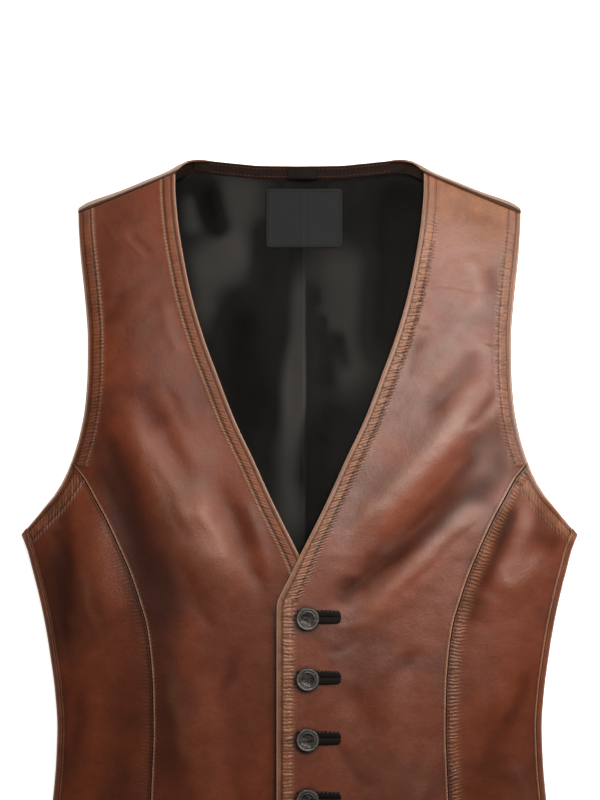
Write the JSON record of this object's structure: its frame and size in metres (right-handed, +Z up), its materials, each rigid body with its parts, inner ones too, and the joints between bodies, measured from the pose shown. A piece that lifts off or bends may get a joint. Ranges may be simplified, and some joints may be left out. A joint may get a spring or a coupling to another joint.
{
  "type": "leather vest",
  "caption": "V-neck leather vest with a buttoned front, princess seams and a satin back lining, laid flat on its back.",
  "frame": {"origin": "middle of the flat underside, where the vest lies on the surface", "axes": "+Y towards the neck, +X towards the wearer's left side, +Z up out of the front"},
  "size_m": [0.481, 0.6, 0.0222],
  "materials": {
    "leather": "antiqued brown aniline leather with a soft sheen, lighter tan along the edges",
    "lining": "near-black satin weave",
    "facing": "dark brown leather strip",
    "label": "charcoal woven damask, bare",
    "tape": "black twill tape",
    "button": "dark horn-like resin with a soft shine"
  },
  "bodies": {
    "root": {"back": "leather", "front_left": "leather", "front_right": "leather", "side_front_left": "leather", "side_front_right": "leather", "back_lining": "lining", "neck_facing": "facing", "label": "label", "hanger_loop": "tape", "buttonhole_1": "tape", "buttonhole_2": "tape", "buttonhole_3": "tape", "buttonhole_4": "tape", "button_1": "button", "button_2": "button", "button_3": "button", "button_4": "button"}
  },
  "joints": []
}
